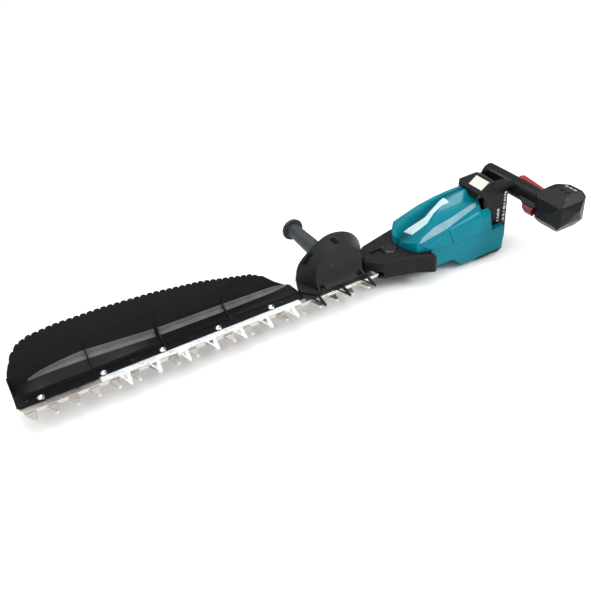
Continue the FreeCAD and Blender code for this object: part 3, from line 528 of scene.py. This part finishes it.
def pressed(tree, point, look, reach):
    """Where the surface is, seen along a direction from so many millimetres before a point."""
    start = point - look * reach * MM
    return tree.ray_cast(start, look, RAY_LENGTH * MM)[0] or point


def band(name, tree, upper, lower, look, lift, material, slot, body="trimmer", steps=(30, 6), reach=60.0):
    """Raised band between two lines of points, pressed onto a surface along a direction.

    Its border is sunk into the surface and the rest stands above it by the lift, in millimetres.
    """
    look = Vector(look).normalized()
    high_line = [at(*p) for p in upper]
    low_line = [at(*p) for p in lower]
    across = steps_with_rim(steps[1], BAND_RIM)
    shape = bmesh.new()
    grid = []
    for u in steps_with_rim(steps[0], BAND_RIM * 0.5):
        line = []
        for v in across:
            middle = point_on(high_line, u).lerp(point_on(low_line, u), v)
            border = u in (0.0, 1.0) or v in (0.0, 1.0)
            height = -BAND_SINK if border else lift
            line.append(shape.verts.new(pressed(tree, middle, look, reach) - look * height * MM))
        grid.append(line)
    for first, second in zip(grid, grid[1:]):
        for j in range(len(across) - 1):
            shape.faces.new((first[j], first[j + 1], second[j + 1], second[j]))
    show(make_object(name, shape), material, body)


def housing_bands(tree):
    """Raised bands and panels on the near side of the housing: painted highlights in paler colours on the
    crown and shoulder, and teal side and nose panels.
    """
    band("crown_painted_highlight", tree, [(-749, -55, 90), (-788, -39, 90), (-838, -47, 90)],
         [(-753, -31, 90), (-782, -23, 90), (-803, -31, 90), (-840, -32, 90)],
         FROM_ABOVE, 0.9, "pale_painted_highlight", "teal_plastic")
    band("shoulder_painted_highlight", tree,
         [(-757, 0, 57), (-792, 0, 68), (-831, 0, 72.5), (-857, 0, 77), (-898, 0, 84)],
         [(-749, 0, 48), (-777, 0, 52), (-816, 0, 57), (-858, 0, 66.8), (-898, 0, 76)],
         FROM_NEAR_SIDE, 0.9, "blue_painted_highlight", "teal_plastic")
    band("side_panel", tree, [(-820, 0, 55), (-845, 0, 60), (-902, 0, 69)],
         [(-829, 0, 24), (-845, 0, 22), (-902, 0, 22)],
         FROM_NEAR_SIDE, 1.8, "teal", "teal_plastic")
    band("nose_panel", tree, [(-760, 0, 38), (-806, 0, 47)], [(-774, 0, 31), (-817, 0, 24)],
         FROM_NEAR_SIDE, 1.6, "teal", "teal_plastic")


FAR_Y = -80
VENT_COUNT = 5
FIRST_VENT_X = -872
VENT_PITCH = 9
VENT_WIDTH = 5
VENT_TOP = -4
VENT_BOTTOM = -28
SCREW_PLACES = [(-862, 2), (-880, 70), (-846, 70), (-896, 1)]
SCREW_RADIUS = 3.4


def vents(tree):
    """Row of flat upright black patches on the far side of the housing, painted shade for cooling slots."""
    for i in range(VENT_COUNT):
        x = FIRST_VENT_X + VENT_PITCH * i
        left, right = [[(edge, FAR_Y, VENT_TOP), (edge, FAR_Y, VENT_BOTTOM)] for edge in (x, x + VENT_WIDTH)]
        band(f"vent_{i}", tree, left, right, FROM_FAR_SIDE, MARK_LIFT, "painted_pocket_shade", "teal_plastic",
             steps=(4, 3))


def screw_pockets(tree):
    """Round dark patches over the housing screws on the far side, painted shade for the screw pockets."""
    arc = [math.radians(170 - 20 * k) for k in range(9)]
    for i, (x, z) in enumerate(SCREW_PLACES):
        upper, lower = [[(x + SCREW_RADIUS * math.cos(a), FAR_Y, z + side * SCREW_RADIUS * math.sin(a))
                         for a in arc] for side in (1, -1)]
        band(f"screw_pocket_{i}", tree, upper, lower, FROM_FAR_SIDE, MARK_LIFT, "painted_pocket_shade",
             "teal_plastic", steps=(16, 3))


# Place along the receiver, height of its crease and share of the strip's full width
CREASE = [(-12, 13.5, 0.15), (-32, 17.5, 0.5), (-70, 20.6, 0.8), (-109, 21.5, 1.0), (-175, 16, 1.0),
          (-245, 10, 1.0), (-365, 8, 1.0), (-470, 7.1, 0.8), (-506, 6.9, 0.15)]


def tray_painted_highlight():
    """Strip painted lighter than the receiver along the crease where its floor turns up into its wall: a
    painted highlight.
    """
    tree = surface(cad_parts["chip_receiver"])
    on_wall = [(x, -87.5 - 3 * wide, z + 8 * wide) for x, z, wide in CREASE]
    on_floor = [(x, -87 + 8 * wide, z - 0.25 * wide * (z - 6.5)) for x, z, wide in CREASE]
    band("tray_crease_highlight", tree, on_wall, on_floor, (0, -0.6, -0.8), 0.35, "tray_painted_highlight", "receiver_plastic",
         steps=(130, 5), reach=6.0)


def guard_pockets():
    """Dark floors of the two blind pockets in the hand guard's rim, painted shade so the shallow pockets
    read as deep openings.
    """
    tree = surface(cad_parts["hand_guard"])
    band("top_pocket_floor", tree, [(-602, -70, 90), (-602, -52, 90)], [(-593, -70, 90), (-593, -52, 90)],
         FROM_ABOVE, 0.3, "painted_pocket_shade", "guard_plastic", steps=(6, 4))
    band("side_pocket_floor", tree, [(-500, -78, 65), (-500, -78, 47)], [(-500, -70, 65), (-500, -70, 47)],
         FROM_TIP_END, 0.3, "painted_pocket_shade", "guard_plastic", steps=(6, 4))


# Place of each column of dashes along the tool, and the bottom and top of each dash
DASHES = [(-951.0, [(24, 30), (32, 35), (37, 45), (47, 53)]),
          (-966.0, [(20, 30), (32, 38), (40, 43), (45, 56), (58, 62), (66, 71), (73, 76), (78, 88)])]
DASH_HALF_WIDTH = 2.9


def battery_marks():
    """Plain pale dashes along the rear edge of the battery's near side."""
    tree = surface(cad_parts["battery_case"])
    for c, (x, column) in enumerate(DASHES):
        for d, (low, high) in enumerate(column):
            front, rear = [[(edge, 0, low), (edge, 0, high)] for edge in
                           (x + DASH_HALF_WIDTH, x - DASH_HALF_WIDTH)]
            band(f"battery_mark_{c}_{d}", tree, front, rear, FROM_NEAR_SIDE, MARK_LIFT, "print_white",
                 "battery_plastic", "battery", (3, 3))


# ---- stage ----

FLOOR_HALF = 9.0


def floor_paper():
    """Matt, nearly white paper."""
    material, tree, shader = new_material("floor_paper")
    coords = object_coords(tree)
    tint(tree, shader, noise(tree, coords, 3.0), [(0.3, (0.9, 0.9, 0.9)), (0.7, (0.93, 0.93, 0.93))])
    bump(tree, noise(tree, coords, 300.0), 0.05, 0.0005, shader)
    shader.inputs["Roughness"].default_value = 0.9
    shader.inputs["Specular IOR Level"].default_value = 0.1
    return material


def add_floor():
    """Wide pale floor under the feet."""
    mesh = bpy.data.meshes.new("floor")
    sides = ((-1, -1), (1, -1), (1, 1), (-1, 1))
    mesh.from_pydata([(x * FLOOR_HALF, y * FLOOR_HALF, CAD_LOW.z) for x, y in sides], [], [(0, 1, 2, 3)])
    floor = new_object("floor", mesh)
    floor.data.materials.append(floor_paper())


def add_softbox(name, target, direction, distance, size, power):
    """Rectangular lamp facing a point from a direction."""
    lamp = bpy.data.lights.new(name, "AREA")
    lamp.shape = "RECTANGLE"
    lamp.size, lamp.size_y = size
    lamp.energy = power
    obj = new_object(name, lamp)
    away = Vector(direction).normalized()
    obj.location = target + away * distance
    obj.rotation_mode = "QUATERNION"
    obj.rotation_quaternion = away.to_track_quat("Z", "Y")


def add_world():
    """Even white surroundings."""
    world = bpy.data.worlds.new("studio")
    world.use_nodes = True
    background = world.node_tree.nodes["Background"]
    background.inputs["Color"].default_value = (1.0, 1.0, 1.0, 1.0)
    background.inputs["Strength"].default_value = 0.42
    bpy.context.scene.world = world


def add_softboxes():
    """Lamps for the housing, the receiver and the whole tool."""
    add_softbox("key_softbox", at(-800, -30, 80), (-0.54, 0.61, 0.58), 2.4, (0.9, 0.6), 34.0)
    add_softbox("tray_softbox", at(-300, -75, 12), (-0.2, -0.5, 0.82), 1.8, (1.6, 0.3), 8.0)
    add_softbox("top_softbox", at(-400, -30, 40), (0.0, -0.15, 1.0), 2.6, (1.4, 0.8), 12.0)


def add_sky():
    """Broad soft light from above."""
    sky = bpy.data.lights.new("sky_diffuser", "SUN")
    sky.energy = 2.1
    sky.angle = math.radians(75)
    sky_obj = new_object("sky_diffuser", sky)
    sky_obj.rotation_euler = (math.radians(-12), math.radians(14), 0)


def add_camera():
    """Camera at its solved place, and plain colours in the picture."""
    lens = bpy.data.cameras.new("camera")
    lens.lens = CAMERA_LENS
    lens.sensor_width = CAMERA_SENSOR
    camera = new_object("camera", lens)
    turn = Matrix((CAMERA_RIGHT, CAMERA_UP, CAMERA_BACK)).transposed().to_4x4()
    camera.matrix_world = Matrix.Translation(TOOTH_TIP + CAMERA_OFFSET) @ turn
    bpy.context.scene.camera = camera
    bpy.context.scene.view_settings.view_transform = "Standard"


finish_nodes()
housing_surface = build_housing()
housing_bands(housing_surface)
vents(housing_surface)
screw_pockets(housing_surface)
tray_painted_highlight()
guard_pockets()
battery_marks()
add_floor()
add_world()
add_softboxes()
add_sky()
add_camera()
